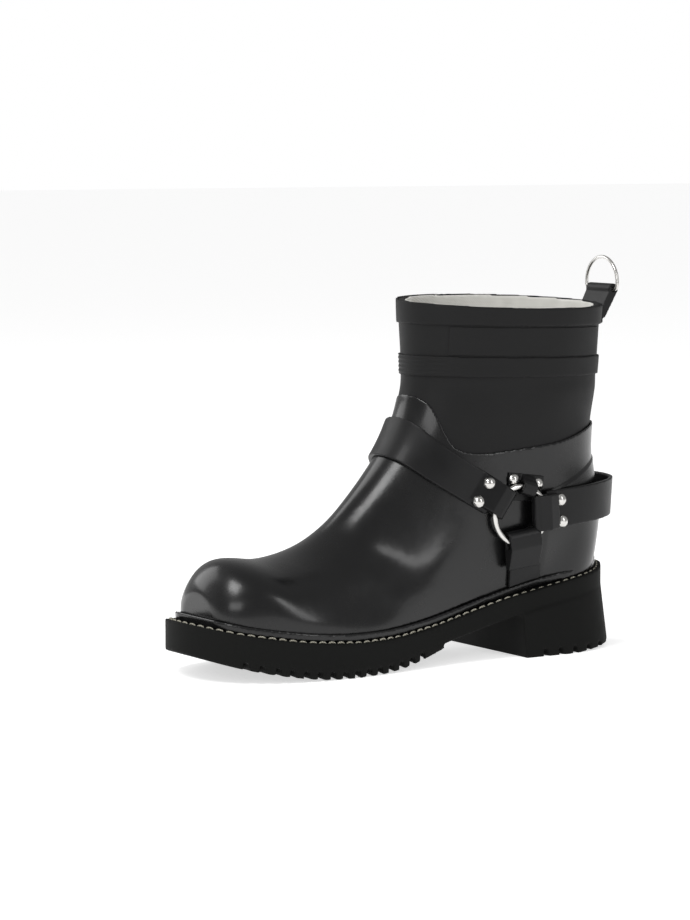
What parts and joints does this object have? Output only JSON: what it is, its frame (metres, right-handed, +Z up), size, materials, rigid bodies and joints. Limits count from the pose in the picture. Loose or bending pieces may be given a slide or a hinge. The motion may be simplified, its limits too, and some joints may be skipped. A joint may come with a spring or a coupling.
{
  "type": "rubber rain boot",
  "caption": "Ankle-high black rubber harness boot for the left foot, with a glossy vamp, cotton lining, ring-and-strap harness and a stitched, lugged block-heel sole.",
  "frame": {"origin": "on the ground under the middle of the boot", "axes": "+Z up, toe towards -Y, heel towards +Y, outer (lateral) side +X"},
  "size_m": [0.1038, 0.2999, 0.2341],
  "materials": {
    "rubber_gloss": "glossy natural rubber",
    "rubber_matte": "matte natural rubber",
    "strap_rubber": "semi-gloss rubber",
    "stiffener_rubber": "firm rubber",
    "sole_rubber": "matte moulded rubber",
    "lining_cotton": "woven cotton",
    "footbed_fabric": "woven cover on foam",
    "board": "fibre board",
    "thread": "waxed thread",
    "nickel": "bright nickel plate",
    "shank_steel": "spring steel"
  },
  "bodies": {
    "boot": {"lining": "lining_cotton", "shaft": "rubber_matte", "vamp": "rubber_gloss", "heel_quarter": "rubber_gloss", "toe_puff": "stiffener_rubber", "heel_stiffener": "stiffener_rubber", "collar_band": "rubber_matte", "shaft_band": "rubber_matte", "side_panel": "rubber_matte", "instep_strap": "strap_rubber", "heel_strap": "strap_rubber", "lateral_sole_strap": "strap_rubber", "medial_sole_strap": "strap_rubber", "lateral_ring_keeper": "strap_rubber", "medial_ring_keeper": "strap_rubber", "lateral_rivets": "nickel", "medial_rivets": "nickel", "pull_tab": "strap_rubber", "rand_bead": "rubber_gloss", "welt": "sole_rubber", "welt_stitches": "thread", "insole_board": "board", "footbed": "footbed_fabric", "bottom_filler": "board", "shank": "shank_steel", "midsole": "sole_rubber", "forefoot_tread": "sole_rubber", "heel_block": "sole_rubber", "heel_top_piece": "sole_rubber"},
    "outer_ring": {"lateral_ring": "nickel"},
    "inner_ring": {"medial_ring": "nickel"},
    "pull_loop": {"pull_ring": "nickel"}
  },
  "joints": [
    {"name": "lateral_ring_spin", "type": "hinge", "parent": "boot", "child": "outer_ring", "pos_m": [0.0433, 0.058, 0.0852], "axis": [0.9945, -0.1045, 0], "continuous": true},
    {"name": "medial_ring_spin", "type": "hinge", "parent": "boot", "child": "inner_ring", "pos_m": [-0.0433, 0.058, 0.0852], "axis": [-0.9945, -0.1045, 0], "continuous": true},
    {"name": "pull_ring_swing", "type": "hinge", "parent": "boot", "child": "pull_loop", "pos_m": [0, 0.1475, 0.2139], "axis": [1, 0, 0], "range_deg": [-120, 80]}
  ]
}
